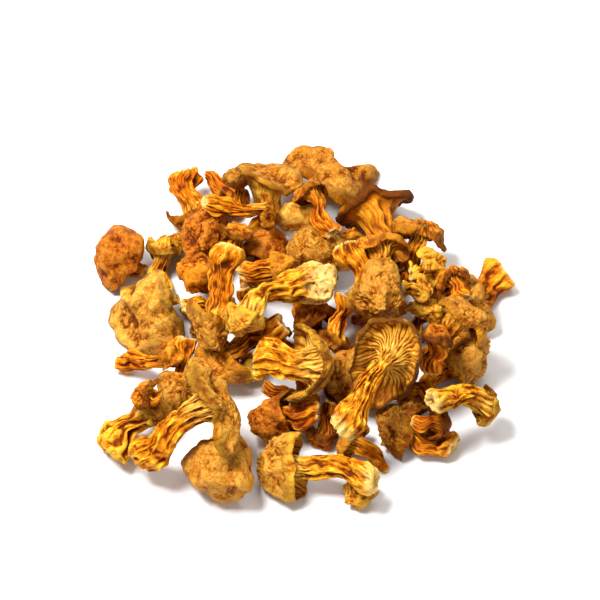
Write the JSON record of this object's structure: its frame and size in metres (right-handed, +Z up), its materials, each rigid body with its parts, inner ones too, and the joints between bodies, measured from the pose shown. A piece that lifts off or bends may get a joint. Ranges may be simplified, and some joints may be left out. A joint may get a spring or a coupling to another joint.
{
  "type": "heap of dried chanterelle mushrooms",
  "caption": "Loose heap of whole dried golden chanterelles, each with a ribbed, twisted stem flaring into a wavy, inrolled cap.",
  "frame": {"origin": "on the surface, under the middle of the heap's bounding box", "axes": "+Z up; -Y towards the side that the heap is seen from; +X to that viewer's right"},
  "size_m": [0.1694, 0.1622, 0.0472],
  "materials": {
    "gold": "matte, fibrous, golden yellow",
    "amber": "matte, fibrous, orange brown",
    "tan": "matte, finely wrinkled, tan ochre",
    "rust": "matte, rough, russet brown",
    "pale": "matte, smooth, pale yellow"
  },
  "bodies": {
    "root": {"crown_cap": "tan", "scoop_cap": "tan", "knob_back": "tan", "horn_back": "rust", "club_back_left": "amber", "maroon_trumpet": "rust", "upright_gilled": "amber", "thin_stem": "amber", "smooth_ear": "pale", "left_round_cap": "rust", "horned_gold": "gold", "left_pale_cap": "pale", "tan_knob": "tan", "split_oval": "gold", "lump_left": "amber", "forked_stem": "amber", "rusty_cap": "rust", "crumpled_rust": "rust", "left_bits": "rust", "olive_cap": "tan", "right_round_cap": "tan", "right_gilled": "tan", "rust_stem_right": "rust", "gold_crumple_right": "gold", "orange_dome": "rust", "brain_cap": "tan", "orange_tube": "amber", "dark_crumple": "rust", "mid_stem": "amber", "under_tan": "rust", "ribbon_back": "amber", "amber_bit": "amber", "small_table_cap": "amber", "torn_gold": "gold", "gold_scrap": "gold", "small_pale": "pale", "behind_star": "tan", "stem_across": "gold", "under_fold": "rust", "under_crown": "rust", "brown_edge": "rust", "gold_wedge": "amber", "under_star": "rust", "under_front": "rust", "low_wedge": "amber", "bottom_round_cap": "tan", "side_cap_left": "rust", "bottom_hook": "gold", "long_bottom": "gold", "tapered_foot": "amber", "side_cap_low_right": "tan", "dark_gilled": "rust", "hooked_right": "gold", "sausage_cap": "amber", "star_gills": "gold", "side_fan": "gold", "gold_fold": "gold", "wrinkled_front": "tan", "tan_centre": "tan", "long_arch": "gold"}
  },
  "joints": []
}
